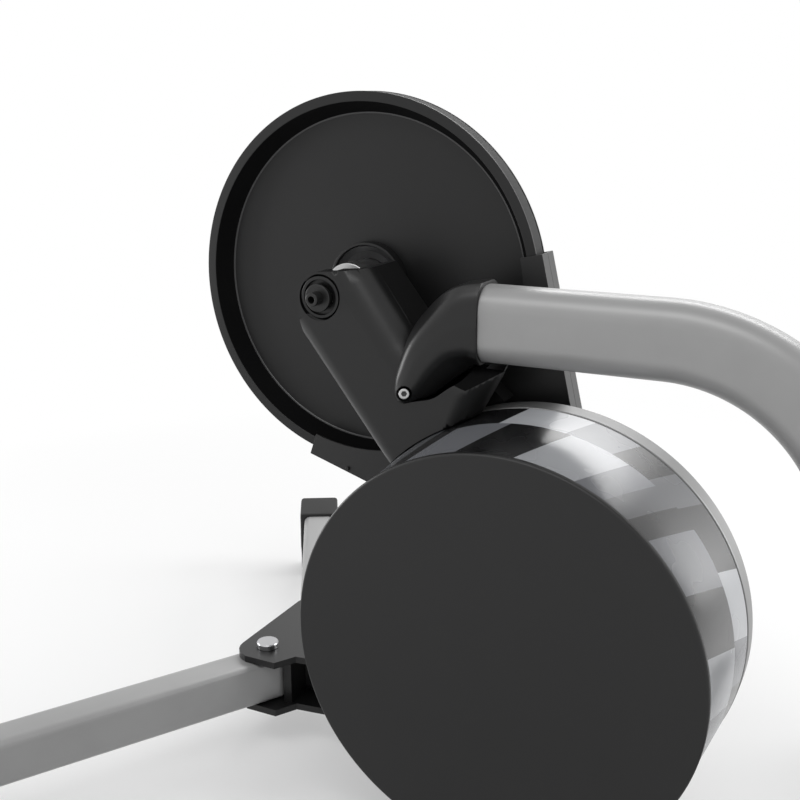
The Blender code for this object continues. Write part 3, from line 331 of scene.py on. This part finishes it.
def refine(obj, width):
    """Welds a CAD node, rounds its edges a little and shades it smooth."""
    obj.modifiers.new("weld", "NODES").node_group = WELD
    if width > 0:
        flat = obj.modifiers.new("flat", "DECIMATE")
        flat.decimate_type = "DISSOLVE"
        flat.angle_limit = FLAT_ANGLE
        bevel = obj.modifiers.new("edges", "BEVEL")
        bevel.width = width * MM
        bevel.segments = 2
        bevel.limit_method = "ANGLE"
        bevel.angle_limit = math.radians(SHARP_DEGREES)
        bevel.use_clamp_overlap = False
        bevel.miter_outer = "MITER_ARC"
    obj.modifiers.new("smooth", "NODES").node_group = SMOOTH
    weigh_normals(obj)


WIDTHS = {"guard_near": 0.35, "guard_far": 0.35, "base_beam": 0.5}
for name, obj in NODES.items():
    obj.data.materials.clear()
    obj.data.materials.append(LOOKS[SLOT_OF[name]])
    refine(obj, WIDTHS.get(name, 0.0))


def mesh_piece(name, shape):
    bmesh.ops.recalc_face_normals(shape, faces=shape.faces)
    for face in shape.faces:
        face.smooth = True
    mesh = bpy.data.meshes.new(name)
    shape.to_mesh(mesh)
    shape.free()
    made = bpy.data.objects.new(name, mesh)
    bpy.context.scene.collection.objects.link(made)
    return made


def finish_piece(obj, node, *materials):
    """Shades a finished piece, gives it its materials and puts it in the CAD node's place."""
    obj.data.set_sharp_from_angle(angle=math.radians(SHARP_DEGREES))
    chosen = [face.material_index for face in obj.data.polygons]
    obj.data.materials.clear()
    for material in materials:
        obj.data.materials.append(material)
    obj.data.polygons.foreach_set("material_index", chosen)
    weigh_normals(obj)
    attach(obj, BODY_OF[node])
    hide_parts(node)


def combine(obj, operation, *others):
    """Joins closed shapes to a piece or cuts them out of it, for good."""
    for other in others:
        change = obj.modifiers.new("combine", "BOOLEAN")
        change.object = other
        change.operation = operation
        change.solver = "MANIFOLD"
    bpy.context.view_layer.update()
    evaluated = obj.evaluated_get(bpy.context.evaluated_depsgraph_get())
    mesh = bpy.data.meshes.new_from_object(evaluated)
    obj.modifiers.clear()
    obj.data = mesh
    for other in others:
        bpy.data.objects.remove(other, do_unlink=True)


def carve(obj, *cutters):
    combine(obj, "DIFFERENCE", *cutters)


def bend(before, corner, after, radius, steps=4):
    """Points that round one corner of a profile."""
    before, corner, after = Vector(before), Vector(corner), Vector(after)
    back, ahead = before - corner, after - corner
    half = back.angle(ahead) / 2
    reach = min(radius / math.tan(half), 0.45 * back.length, 0.45 * ahead.length)
    start, end = corner + back.normalized() * reach, corner + ahead.normalized() * reach
    points = []
    for i in range(steps + 1):
        share = i / steps
        points.append(start.lerp(corner, share).lerp(corner.lerp(end, share), share))
    return points


def rounded_profile(profile):
    """A profile of (radius, height, rounding); one that starts off the axis is a closed ring."""
    closed = profile[0][0] > 0
    count = len(profile)
    points = []
    for i, (radius, height, rounding) in enumerate(profile):
        inner = closed or 0 < i < count - 1
        if rounding and inner:
            points += bend(profile[i - 1][:2], (radius, height), profile[(i + 1) % count][:2], rounding)
        else:
            points.append(Vector((radius, height)))
    return points, closed


def turned_shape(profile, at, toward=Y_AXIS, steps=160, pick=None):
    """A profile turned about an axis; pick gives a face's material from its middle radius and height."""
    points, closed = rounded_profile(profile)
    shape = bmesh.new()
    rings = []
    for radius, height in points:
        if radius < 1e-6:
            rings.append([shape.verts.new((0.0, 0.0, height * MM))])
            continue
        angles = [2 * math.pi * i / steps for i in range(steps)]
        around = [(radius * math.cos(angle) * MM, radius * math.sin(angle) * MM) for angle in angles]
        rings.append([shape.verts.new((*point, height * MM)) for point in around])
    for row in range(len(rings) if closed else len(rings) - 1):
        ring, following = rings[row], rings[(row + 1) % len(rings)]
        middle = (points[row] + points[(row + 1) % len(rings)]) / 2
        for i in range(steps):
            j = (i + 1) % steps
            corners = [ring[i % len(ring)], ring[j % len(ring)]]
            corners += [following[j % len(following)], following[i % len(following)]]
            face = shape.faces.new(list(dict.fromkeys(corners)))
            face.material_index = pick(middle.x, middle.y) if pick else 0
    turn = toward.to_track_quat("Z", "Y").to_matrix().to_4x4()
    shape.transform(Matrix.Translation(place(*at)) @ turn)
    return shape


def turned(node, profile, at, *materials, toward=Y_AXIS, steps=160, pick=None):
    shape = turned_shape(profile, at, toward, steps, pick)
    finish_piece(mesh_piece(node + "_form", shape), node, *materials)


def cutter_rod(radius, low, high, at, toward=Y_AXIS, steps=96):
    profile = [(0, high, 0), (radius, high, 0), (radius, low, 0), (0, low, 0)]
    return mesh_piece("cutter", turned_shape(profile, at, toward, steps))


def between(first, second, third, fourth, share):
    """A smooth curve's value between the second and third of four."""
    slope = (third - first) / 2
    end_slope = (fourth - second) / 2
    a = 2 * second - 2 * third + slope + end_slope
    b = -3 * second + 3 * third - 2 * slope - end_slope
    return ((a * share + b) * share + slope) * share + second


def finer(rows, pieces):
    """Rows of numbers with smooth ones between."""
    made = []
    for i in range(len(rows) - 1):
        around = [rows[min(max(i + shift, 0), len(rows) - 1)] for shift in (-1, 0, 1, 2)]
        for step in range(pieces):
            made.append([between(*values, step / pieces) for values in zip(*around)])
    return made + [list(rows[-1])]


def arm_face(z):
    """The near face of the arm leans out towards the bottom."""
    return ARM_FACE + ARM_LEAN * (ARM_TOP_R - z)


def edge_cutter(edge):
    """A bar that rounds the near face's edge along a line of (X, Z, radius)."""
    steps, spare = 14, 4
    near = Vector((0.0, 1.0, ARM_LEAN)).normalized()
    run = Vector((edge[-1][0] - edge[0][0], edge[-1][1] - edge[0][1])).normalized()
    side = Vector((-run.y, 0.0, run.x))
    rings = []
    for x, z, radius in finer(edge, 8):
        corner = Vector((x, arm_face(z), z))
        centre = corner - (near + side) * radius / (1 + near.dot(side))
        section = [corner + (near + side) * spare, centre + near * (radius + spare)]
        section += [centre + near.slerp(side, i / steps) * radius for i in range(steps + 1)]
        section.append(centre + side * (radius + spare))
        rings.append([tuple(point) for point in section])
    return mesh_piece("cutter", skin(rings))


def slab(outline, far, under=0.0):
    """A block of the arm on X and Z, from a plain depth up to its near face or a little under that."""
    back = [(x, far, z) for x, z in outline]
    front = [(x, arm_face(z) - under, z) for x, z in outline]
    return mesh_piece("slab", skin([back, front]))


def plain_cutter(outline, at):
    """An outline of (radius, height) turned about an axis along Y."""
    return mesh_piece("cutter", turned_shape([(*point, 0.0) for point in outline], at))


def pocket_cutter():
    """The room in the arm for the socket, with a gap under it."""
    rows = []
    for station, gap in zip(SOCKET_STATIONS, POCKET_GAPS):
        x, z, heading, up, down, near, far = station[:7]
        rows.append((x, z, heading, up - 1.5, down + gap, near + 9, far, 1.0, 1.0, 1.0, 1.0))
    return mesh_piece("cutter", skin([socket_ring(row, 0.0) for row in finer(rows, 6)]))


def arm():
    """The casting with its left edge, its flank and its shoulder rounded as softly as the real one's."""
    shape = bmesh.new()
    shape.from_mesh(NODES["arm"].data)
    bmesh.ops.remove_doubles(shape, verts=shape.verts, dist=WELD_REACH)
    bmesh.ops.dissolve_limit(shape, angle_limit=FLAT_ANGLE, verts=shape.verts, edges=shape.edges)
    made = mesh_piece("arm_form", shape)
    turns = [math.radians(-12 + 102 * i / 14) for i in range(15)]
    top = [(ARM_TOP_R * math.cos(turn), ARM_TOP_R * math.sin(turn)) for turn in turns]
    flank = [(-18.0, 19.5), (-32.0, 21.0), (-58.0, -12.0), (-66.0, -23.0), (-86.0, -36.0)]
    shoulder = [(-118.0, -40.5), (-139.0, -40.5), (-129.5, -57.5), (-116.7, -79.7), (-100.0, -118.9)]
    plate = slab([LEFT_TIP, LEFT_CORNER, *top, *flank, *shoulder], PLATE_BACK)
    left = [LEFT_TIP, LEFT_CORNER, (ARM_TOP_R, -8.0), (9.0, -8.0), (-66.0, -113.0)]
    wall = slab(left, ARM_BACK, UNDER_FACE)
    middle = [(-10.0, 19.0), *flank, (-84.0, -60.0), (-50.0, -36.0), (-20.0, -2.0)]
    bell = [(0.0, 54.0), (16.8, 54.0), (17.2, 46.5), (30.5, 45.0), (33.5, 34.0), (33.5, 3.0), (0.0, 3.0)]
    bell_cutter = plain_cutter(bell, (0, 0, 0))
    combine(wall, "UNION", slab(middle, CORE_BACK, UNDER_FACE))
    carve(wall, bell_cutter)
    front = [(-160.0, 60.0), (60.0, 60.0), (60.0, -130.0), (-160.0, -130.0)]
    under = [(x, arm_face(z) - FACE_SKIN, z) for x, z in front]
    over = [(x, 100.0, z) for x, z in front]
    carve(made, mesh_piece("cutter", skin([under, over])))
    combine(made, "UNION", wall, plate)
    seat = cutter_rod(ARM_SEAT_R, 58.0, 90.0, (0, 0, 0))
    skirt = [(0.0, 90.0), (SKIRT_R - 2.9, 90.0), (SKIRT_R, BAND_FAR), (SKIRT_R, 2.0), (0.0, 2.0)]
    drum = plain_cutter(skirt, (DRUM[0], 0, DRUM[1]))
    carve(made, seat, drum, pocket_cutter(), *(edge_cutter(edge) for edge in ROUNDS))
    # Painted shade: the shoulder's upward-sloping top faces in this box get the matt dark surface.
    low, high = place(*SHADED_LOW), place(*SHADED_HIGH)
    for face in made.data.polygons:
        face.use_smooth = True
        inside = all(low[i] < face.center[i] < high[i] for i in range(3))
        face.material_index = 1 if inside and face.normal.z > SHADED_SLOPE else 0
    finish_piece(made, "arm", PAINT, PAINTED_SHADE)


def pulley():
    def pick(radius, height):
        # Painted highlight: the lighter ring at the floor's edge.
        if FLOOR_EDGE_R - 1.0 < radius < FLOOR_EDGE_R + 0.2 and height > -15.3:
            return 2
        # Painted shade: the pulley's inner wall.
        if FLOOR_EDGE_R < radius < 134.5 and -15.0 < height < -0.4:
            return 1
        return 0

    profile = [
        (142.0, 0.0, 0.5),
        (142.0, -1.3, 0.0),
        (139.6, -1.7, 0.0),
        (139.6, -15.9, 0.0),
        (142.0, -16.3, 0.0),
        (142.0, -17.6, 0.5),
        (18.3, -17.6, 0.0),
        (18.3, -15.2, 0.3),
        (FLOOR_EDGE_R - 1.2, -15.2, 0.2),
        (FLOOR_EDGE_R - 0.7, -14.7, 0.2),
        (FLOOR_EDGE_R, -14.7, 0.2),
        (134.8, 0.0, 0.6),
    ]
    turned("drive_pulley", profile, (0, 0, 0), PULLEY, PAINTED_SHADE, PAINTED_HIGHLIGHT, steps=256, pick=pick)
    clamp = [
        (29.2, -6.4, 0.0),
        (31.0, -6.4, 0.5),
        (31.0, -14.9, 0.0),
        (18.3, -14.9, 0.0),
        (18.3, -12.4, 0.2),
        (24.0, -11.6, 1.0),
        (28.2, -9.2, 1.0),
    ]
    turned("hub_clamp_ring", clamp, (0, 0, 0), PULLEY)


def axle_end():
    tip = 75.8
    adapter = [
        (4.9, tip, 0.8),
        (4.9, 67.5, 0.0),
        (10.0, 67.5, 0.7),
        (10.0, 64.4, 0.0),
        (8.5, 64.4, 0.0),
        (8.5, 60.3, 0.0),
        (2.6, 60.3, 0.0),
        (2.6, tip, 0.3),
    ]
    for node, side in (("left_adapter", 1), ("right_adapter", -1)):
        turned(node, adapter, (0, 0, 0), DARK, toward=Y_AXIS * side, steps=96)
    ring = [
        (15.1, 63.6, 0.5),
        (15.1, 58.3, 0.0),
        (8.8, 58.3, 0.0),
        (8.8, 60.2, 0.0),
        (12.7, 60.2, 0.3),
        (12.7, 63.6, 0.4),
    ]
    turned("adapter_lock_ring", ring, (0, 0, 0), PAINT)
    sleeve = [
        (13.0, 43.7, 0.5),
        (13.0, 21.6, 0.4),
        (19.0, 21.6, 0.8),
        (19.0, 9.4, 0.0),
        (8.8, 9.4, 0.0),
        (8.8, 43.7, 0.0),
    ]
    turned("spacer_sleeve", sleeve, (0, 0, 0), SILVER)


def flywheel():
    place_at = (DRUM[0], 0, DRUM[1])
    cap = [
        (0.0, 142.0, 0.0),
        (139.6, 142.0, 2.6),
        (139.6, 137.4, 0.2),
        (136.2, 137.4, 0.0),
        (136.2, 131.0, 0.0),
        (133.0, 131.0, 0.0),
        (133.0, 138.8, 0.0),
        (0.0, 138.8, 0.0),
    ]
    turned("flywheel_cap", cap, place_at, MOULDED, steps=256)
    band = [
        (BAND_NEAR_R, BAND_NEAR, 0.6),
        (BAND_FAR_R, BAND_FAR, 0.6),
        (BAND_FAR_R - 2.6, BAND_FAR, 0.0),
        (136.6, 130.0, 0.0),
        (136.6, BAND_NEAR, 0.0),
    ]
    turned("flywheel_band", band, place_at, BAND, steps=256)
    flange = [
        (144.9, 44.8, 1.4),
        (144.9, 28.6, 0.0),
        (140.6, 28.6, 0.0),
        (140.6, 36.5, 0.0),
        (24.0, 36.5, 0.0),
        (24.0, 41.5, 0.0),
        (137.5, 41.5, 0.0),
        (139.0, 44.8, 0.0),
    ]
    turned("brake_flange", flange, place_at, FLANGE, steps=256)


def socket_ring(station, inset):
    """A section with bent corners, from far low round over the crowned near side to the lower slope."""
    x, z, heading, up, down, near, far, up_cut, up_depth, low_cut, low_depth = station
    angle = math.radians(heading)
    across = (-math.sin(angle), math.cos(angle))
    up, down, near, far = up - inset, down - inset, near - inset, far + inset
    crown = (up - up_cut + low_cut - down) / 2
    corners = [(-down, far), (up, far), (up, near - up_depth), (up - up_cut, near - 1.5), (crown, near)]
    corners += [(low_cut - down, near - 1.0), (-down, near - low_depth)]
    ring = []
    for i, corner in enumerate(corners):
        bent = bend(corners[i - 1], corner, corners[(i + 1) % len(corners)], SOCKET_BENDS[i], 8)
        if ring:
            ring += [ring[-1].lerp(bent[0], share / 4) for share in (1, 2, 3)]
        ring += bent
    ring += [ring[-1].lerp(ring[0], share / 4) for share in (1, 2, 3)]
    return [(x + across[0] * height, depth, z + across[1] * height) for height, depth in ring]


def skin(rings, close_ends=True):
    """A smooth skin over rings of equal count."""
    shape = bmesh.new()
    rows = [[shape.verts.new(place(*point)) for point in ring] for ring in rings]
    pairs = list(zip(rows, rows[1:]))
    if not close_ends:
        pairs.append((rows[-1], rows[0]))
    for row, following in pairs:
        for i in range(len(row)):
            j = (i + 1) % len(row)
            shape.faces.new((row[i], row[j], following[j], following[i]))
    if close_ends:
        shape.faces.new(rows[0][::-1])
        shape.faces.new(rows[-1])
    return shape


def rounded_rectangle(half_u, half_v, radius, steps=10):
    points = []
    for quarter, (side_u, side_v) in enumerate(((1, 1), (-1, 1), (-1, -1), (1, -1))):
        for i in range(steps + 1):
            angle = (quarter + i / steps) * math.pi / 2
            u = side_u * (half_u - radius) + radius * math.cos(angle)
            v = side_v * (half_v - radius) + radius * math.sin(angle)
            points.append((u, v))
    return points


def off_bolt(point):
    """The distance of a point from the axis of the socket's bolt."""
    return (point - place(*SOCKET_BOLT)).cross(SOCKET_BOLT_AXIS).length / MM


def socket():
    lip = SOCKET_STATIONS[0]
    rows = [socket_ring([lip[0] - back, *lip[1:]], inset) for back, inset in ((1.2, 1.2), (0.85, 0.35))]
    rows += [socket_ring(station, 0.0) for station in finer(SOCKET_STATIONS, 6)]
    nose = SOCKET_STATIONS[-1]
    heading = math.radians(nose[2])
    for forward, inset in ((0.8, 0.3), (1.5, 0.9), (2.1, 1.8), (2.4, 2.8), (2.5, 3.6)):
        x, z = nose[0] + math.cos(heading) * forward, nose[1] + math.sin(heading) * forward
        rows.append(socket_ring([x, z, *nose[2:]], inset))
    made = mesh_piece("leg_socket_form", skin(rows))
    section = rounded_rectangle(TUBE_HALF_WIDE + SEAT_GAP, TUBE_HALF_TALL + SEAT_GAP, TUBE_CORNER_R)
    seat = [[(x, TUBE_Y + u, TUBE_Z + v) for u, v in section] for x in (TUBE_END_X + SEAT_GAP, -140.0)]
    bore = cutter_rod(BOLT_BORE_R, -6.0, 12.0, SOCKET_BOLT, SOCKET_BOLT_AXIS, 64)
    carve(made, mesh_piece("cutter", skin(seat)), bore)
    finish_piece(made, "leg_socket", MOULDED, PAINTED_SHADE)
    # Painted shade: the faces inside the bolt's bore.
    for face in made.data.polygons:
        face.material_index = 1 if off_bolt(face.center) < BOLT_BORE_R + 0.1 else 0


def socket_bolt():
    bolt = [(0.0, -BOLT_SUNK, 0.0), (BOLT_R, -BOLT_SUNK, 0.7), (BOLT_R, -5.7, 0.0), (0.0, -5.7, 0.0)]
    head = mesh_piece("socket_bolt_form", turned_shape(bolt, SOCKET_BOLT, SOCKET_BOLT_AXIS, 64))
    carve(head, cutter_rod(BOLT_SOCKET_R, -4.2, 4.0, SOCKET_BOLT, SOCKET_BOLT_AXIS, 6))
    finish_piece(head, "socket_bolt", ZINC, PAINTED_RECESS_SHADE)
    # Painted shade: the faces deep in the bolt's hex socket.
    for face in head.data.polygons:
        depth = (place(*SOCKET_BOLT) - face.center).dot(SOCKET_BOLT_AXIS) / MM
        inside = off_bolt(face.center) < BOLT_SOCKET_R + 0.3
        face.material_index = 1 if inside and depth > BOLT_SUNK + 0.4 else 0


def rear_leg_path():
    """Level over the flywheel, then round a bend and down to the rear bar, with each point's heading."""
    centre = Vector((BEND_X, TUBE_Z - BEND_R))
    run = Vector(REAR_BAR) - centre
    heading = math.atan2(run.y, run.x) + math.asin(BEND_R / run.length)
    turn = heading % (2 * math.pi) - math.pi
    points = [(TUBE_END_X, TUBE_Z, math.pi)]
    steps = 36
    for i in range(steps + 1):
        angle = math.pi / 2 + turn * i / steps
        x, z = centre.x + BEND_R * math.cos(angle), centre.y + BEND_R * math.sin(angle)
        points.append((x, z, angle + math.pi / 2))
    points.append((REAR_BAR[0], REAR_BAR[1], math.pi + turn))
    return points


def rear_leg():
    path = rear_leg_path()
    outer = rounded_rectangle(TUBE_HALF_WIDE, TUBE_HALF_TALL, TUBE_CORNER_R)
    inside = [size - TUBE_WALL for size in (TUBE_HALF_WIDE, TUBE_HALF_TALL, TUBE_CORNER_R)]
    inner = rounded_rectangle(*inside)
    rings = []
    for route, section in ((path, outer), (path[::-1], inner)):
        for x, z, heading in route:
            across = (-math.sin(heading), math.cos(heading))
            rings.append([(x - across[0] * v, TUBE_Y + u, z - across[1] * v) for u, v in section])
    made = mesh_piece("rear_leg_tube_form", skin(rings, close_ends=False))
    cope = cutter_rod(25.3, -90.0, 140.0, (REAR_BAR[0], 0, REAR_BAR[1]))
    carve(made, cope)
    finish_piece(made, "rear_leg_tube", TUBE)
    bar = [(25.0, 190.0, 1.0), (25.0, -190.0, 1.0), (22.0, -190.0, 1.0), (22.0, 190.0, 1.0)]
    turned("rear_foot_bar", bar, (REAR_BAR[0], 0, REAR_BAR[1]), TUBE, steps=96)


def floor_material():
    """Pale floor that takes the shadow and fades into the white background."""
    made = Nodes("floor")
    tree = made.tree
    tree.nodes.remove(made.shader)
    out = tree.nodes["Material Output"]
    diffuse = made.add("BsdfDiffuse", {"Color": (0.86, 0.86, 0.86, 1.0)})
    white = made.add("Emission", {"Color": (1.0, 1.0, 1.0, 1.0), "Strength": 1.0})
    where = made.add("VectorMath", {0: made.coordinates()}, operation="LENGTH")
    far = made.add(
        "MapRange", {"Value": where.outputs["Value"], "From Min": 0.40, "From Max": 1.10, "To Min": 0.30}
    )
    rays = made.add("LightPath")
    seen = made.math("MAXIMUM", rays.outputs["Is Camera Ray"], rays.outputs["Is Glossy Ray"])
    seen = made.math("MAXIMUM", seen, rays.outputs["Is Transmission Ray"])
    mixed = made.add("MixShader", {"Fac": made.math("MULTIPLY", far.outputs["Result"], seen)})
    tree.links.new(diffuse.outputs[0], mixed.inputs[1])
    tree.links.new(white.outputs[0], mixed.inputs[2])
    tree.links.new(mixed.outputs[0], out.inputs["Surface"])
    return made.material


def floor():
    shape = bmesh.new()
    bmesh.ops.create_circle(shape, cap_ends=True, segments=64, radius=12.0)
    made = mesh_piece("floor", shape)
    made.data.materials.append(floor_material())


def world():
    made = bpy.data.worlds.new("studio")
    bpy.context.scene.world = made
    made.use_nodes = True
    tree = made.node_tree
    light = tree.nodes["Background"]
    light.inputs["Color"].default_value = (1.0, 1.0, 1.0, 1.0)
    light.inputs["Strength"].default_value = AMBIENT
    white = tree.nodes.new("ShaderNodeBackground")
    white.inputs["Color"].default_value = (1.0, 1.0, 1.0, 1.0)
    rays = tree.nodes.new("ShaderNodeLightPath")
    seen = rays.outputs["Is Camera Ray"]
    for kind in ("Is Glossy Ray", "Is Transmission Ray"):
        either = tree.nodes.new("ShaderNodeMath")
        either.operation = "MAXIMUM"
        tree.links.new(seen, either.inputs[0])
        tree.links.new(rays.outputs[kind], either.inputs[1])
        seen = either.outputs[0]
    mixed = tree.nodes.new("ShaderNodeMixShader")
    tree.links.new(seen, mixed.inputs["Fac"])
    tree.links.new(light.outputs[0], mixed.inputs[1])
    tree.links.new(white.outputs[0], mixed.inputs[2])
    tree.links.new(mixed.outputs[0], tree.nodes["World Output"].inputs["Surface"])


def lamp(name, where, power, size, target=(0.0, 0.05, 0.26)):
    light = bpy.data.lights.new(name, "AREA")
    light.shape = "RECTANGLE"
    light.size, light.size_y = size
    light.energy = power
    made = bpy.data.objects.new(name, light)
    made.location = where
    made.rotation_euler = (Vector(target) - Vector(where)).to_track_quat("-Z", "Y").to_euler()
    bpy.context.scene.collection.objects.link(made)


def camera():
    """Placed from the photo's perspective."""
    data = bpy.data.cameras.new("camera")
    data.sensor_width = 36.0
    data.lens = 50.48
    made = bpy.data.objects.new("camera", data)
    made.location = AXLE + Vector((-0.4023, 0.7450, 0.1391))
    forward = Vector((0.42934, -0.86414, -0.26253))
    made.rotation_euler = forward.to_track_quat("-Z", "Y").to_euler()
    bpy.context.scene.collection.objects.link(made)
    bpy.context.scene.camera = made


arm()
pulley()
axle_end()
flywheel()
socket()
socket_bolt()
rear_leg()
floor()
world()
lamp("top_back", (0.0, -1.3, 1.35), 14.0, (1.6, 0.5))
lamp("top_front", (0.0, 1.05, 1.8), 9.0, (1.6, 0.5))
lamp("rim_right", (-1.5, -1.2, 0.7), 23.0, (0.7, 1.2))
lamp("rim_left", (1.4, 0.35, 0.35), 8.0, (0.5, 0.6))
camera()
bpy.context.scene.view_settings.view_transform = "Standard"
